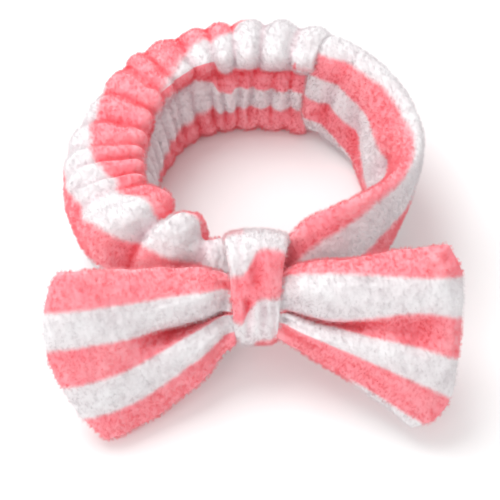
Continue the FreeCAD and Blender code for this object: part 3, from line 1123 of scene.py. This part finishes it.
def knot_wrap():
    """The fleece strip round the waist: wider at the top, with a deep fold down its front."""
    tree, across, rises, depths = bow_local("knot_wrap")
    centre = bow_place(0.0, middle_of(rises), middle_of(depths))
    rows = 84
    columns = 30
    angles = np.linspace(0, 2 * math.pi, rows)
    outer, inner = wrap_rings(tree, Vector(centre), angles)
    arc = length_along(outer)
    arc = np.where(arc > arc[-1] / 2, arc - arc[-1], arc)
    height = ((outer - centre) @ np.array(RISE))[:, None]
    width = (across.max() - across.min()) / 2 * np.interp(height, *np.array(WRAP_WIDTHS).T)
    section = np.linspace(0, 2 * math.pi, columns, endpoint=False)
    x_share = np.sin(section)
    x_share = np.sign(x_share) * np.abs(x_share) ** 0.7
    out_share = 0.5 + 0.5 * np.sign(np.cos(section)) * np.abs(np.cos(section)) ** 0.6
    x = x_share[None, :] * width
    front = smooth(-0.2, 0.6, np.cos(angles))[:, None]
    fold = bump(-2.2 * MM + 1.5 * MM * np.sin(3 * angles)[:, None], 1.4 * MM, x) * DEEPEST_FOLD
    for place, half_width, deep, start, end in WRAP_CREASES:
        fold = fold + bump(place * MM, half_width * MM, x) * deep * smooth(start * MM, end * MM, height)
    puff = 1.6 * (1 - x_share[None, :] ** 2) + 0.8 * smooth(8 * MM, 20 * MM, height)
    spread = (outer - centre) / np.linalg.norm(outer - centre, axis=1, keepdims=True)
    surface = inner[:, None] * (1 - out_share)[None, :, None] + outer[:, None] * out_share[None, :, None]
    lift = (puff - fold * front) * smooth(0.5, 0.9, out_share)[None, :] * MM
    points = surface + spread[:, None] * lift[..., None]
    points[..., 0] = centre[0] + x
    points[-1] = points[0]
    weave = []
    for step in (0.0, 1.0):
        shifted = np.sin(section + step * (section[1] - section[0]))[None, :] * width
        pink_middle = -3 * MM + 12 * MM * smooth(-3.2 * MM, -1.2 * MM, shifted)
        stripes = (np.clip(arc, -27 * MM, 31 * MM)[:, None] - pink_middle) / BOW_STRIPE + 0.75
        weave.append(np.stack([shifted, stripes], axis=2))
    # The fold down the wrap's front is darkened by its depth, as painted shade.
    obj = grid_object("knot_wrap_fleece", points, *weave, fold * front / 5)
    shape = bmesh.new()
    shape.from_mesh(obj.data)
    bmesh.ops.remove_doubles(shape, verts=shape.verts, dist=1e-6)
    shape.to_mesh(obj.data)
    shape.free()
    face_outwards(obj)
    settle(obj, np.full(len(obj.data.vertices), 0.5), pressure=1, frames=10, cap=1.5 * MM)
    subdivide(obj, 2)
    fleece_surface(obj, wave=7 * MM, height=1.0 * MM)
    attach(obj, "band_front")
    stands_for(["knot_wrap"])


def waist():
    """The bow's pinched middle, mostly inside the wrap."""
    _, across, rises, depths = bow_local("bow_waist")
    half_width = (across.max() - across.min()) / 2 + 1.0 * MM
    rows = 16
    columns = 40
    turn = np.linspace(0, 2 * math.pi, columns, endpoint=False)[None, :]
    x = np.linspace(-half_width, half_width, rows)[:, None]
    flute = 1 - 0.10 * (0.5 + 0.5 * np.cos(turn * 9))
    rise = middle_of(rises) + (rises.max() - rises.min()) / 2 * np.sin(turn) * flute
    depth = middle_of(depths) + (depths.max() - depths.min()) / 2 * np.cos(turn) * flute
    points = bow_place(x, rise, depth)
    stripes = (rise - rises.min()) / BOW_STRIPE + 0 * x
    weave = np.stack([x + 0 * turn, stripes], axis=2)
    # The whole waist is darkened at 0.4 of the full crease shade, as painted shade.
    obj = grid_object("bow_waist_fleece", points, weave, np.roll(weave, -1, 1), 0.4, caps=True)
    subdivide(obj, 1)
    ruffle(obj, TUFT, 0.5 * MM)
    grow_pile(obj, per_square_mm=0.2)
    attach(obj, "band_front")
    stands_for(["bow_waist"])


def new_piece(name, mesh, material):
    """An object of one material in the scene."""
    mesh.materials.clear()
    mesh.materials.append(material)
    obj = bpy.data.objects.new(name, mesh)
    bpy.context.scene.collection.objects.link(obj)
    return obj


def blended_copy(name, nodes, material):
    """CAD nodes copied as one piece, with their long edges cut finer."""
    shape = bmesh.new()
    for node in nodes:
        shape.from_mesh(frame["nodes"][node].data)
    for _ in range(3):
        long_edges = [edge for edge in shape.edges if edge.calc_length() > 6 * MM]
        if not long_edges:
            break
        bmesh.ops.subdivide_edges(shape, edges=long_edges, cuts=1)
    bmesh.ops.triangulate(shape, faces=shape.faces)
    mesh = bpy.data.meshes.new(name)
    shape.to_mesh(mesh)
    shape.free()
    obj = new_piece(name, mesh, material)
    band_blend(obj)
    stands_for(nodes)


def tucked_stitches(side):
    """The wing's edge seam, drawn in so that it lies under the pile."""
    node = f"bow_{side}_edge_thread"
    mesh = frame["nodes"][node].data.copy()
    low, high = (Vector(corner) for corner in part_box(node))
    middle = (low + high) / 2
    for vertex in mesh.vertices:
        vertex.co = middle + (vertex.co - middle) * 0.88
    obj = new_piece(f"bow_{side}_edge_stitches", mesh, THREAD)
    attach(obj, f"bow_{side}")
    stands_for([node])


# ---- Stage ----


CAMERA_TARGET = Vector((3, -38, 25)) * MM
CAMERA_ELEVATION = math.radians(55)
CAMERA_DISTANCE = 0.8
CAMERA_LENS = 112.3
FLOOR_SIDE = 4.0
FLOOR_GAP = 1.5 * MM


def soft_light(name, place, target, size, power):
    """A square lamp that looks at the target."""
    lamp = bpy.data.lights.new(name, "AREA")
    lamp.size = size
    lamp.energy = power
    obj = bpy.data.objects.new(name, lamp)
    bpy.context.scene.collection.objects.link(obj)
    obj.location = place
    obj.rotation_euler = (Vector(target) - Vector(place)).to_track_quat("-Z", "Y").to_euler()


def stage():
    """A plain pale floor, a white studio, two soft lamps, and the camera at the photo's angle."""
    camera = bpy.data.cameras.new("camera")
    camera.lens = CAMERA_LENS
    camera.sensor_width = 36
    viewer = bpy.data.objects.new("camera", camera)
    bpy.context.scene.collection.objects.link(viewer)
    back = Vector((0, -math.cos(CAMERA_ELEVATION), math.sin(CAMERA_ELEVATION)))
    viewer.location = CAMERA_TARGET + back * CAMERA_DISTANCE
    viewer.rotation_euler = (CAMERA_TARGET - viewer.location).to_track_quat("-Z", "Y").to_euler()
    bpy.context.scene.camera = viewer
    mesh = bpy.data.meshes.new("floor")
    corners = [(-1, -1), (1, -1), (1, 1), (-1, 1)]
    mesh.from_pydata([(x * FLOOR_SIDE, y * FLOOR_SIDE, 0) for x, y in corners], [], [(0, 1, 2, 3)])
    material, tree, shader = new_material("floor")
    set_inputs(tree, shader, {"Base Color": (0.95, 0.95, 0.95, 1), "Roughness": 0.9})
    floor = new_piece("floor", mesh, material)
    floor.location.z = cad_box[0][2] - FLOOR_GAP
    world = bpy.data.worlds.new("studio")
    bpy.context.scene.world = world
    world.use_nodes = True
    background = world.node_tree.nodes["Background"]
    background.inputs[0].default_value = (1, 1, 1, 1)
    background.inputs[1].default_value = 0.72
    soft_light("key", (-0.35, 0.4, 0.95), CAMERA_TARGET, size=0.7, power=8)
    soft_light("fill", (-0.5, -0.8, 0.6), CAMERA_TARGET, size=0.6, power=3)
    bpy.context.scene.view_settings.view_transform = "Standard"


finish_band(gathered_casing(), GATHERED_COVERS)
finish_band(smooth_casing(), SMOOTH_COVERS)
for wing_name in WINGS:
    wing(wing_name)
knot_wrap()
waist()
blended_copy("elastic_webbing", ["elastic_strip"], ELASTIC)
tube_seam = ["tube_seam_thread_front", "tube_seam_thread_rear"]
blended_copy("tube_seam_stitches", tube_seam, THREAD)
for wing_name in WINGS:
    tucked_stitches(wing_name)
# The CAD nodes that nothing has replaced are tacks, seams and bindings.
for packed in frame["nodes"].values():
    packed.data.materials.clear()
    packed.data.materials.append(THREAD)
stage()
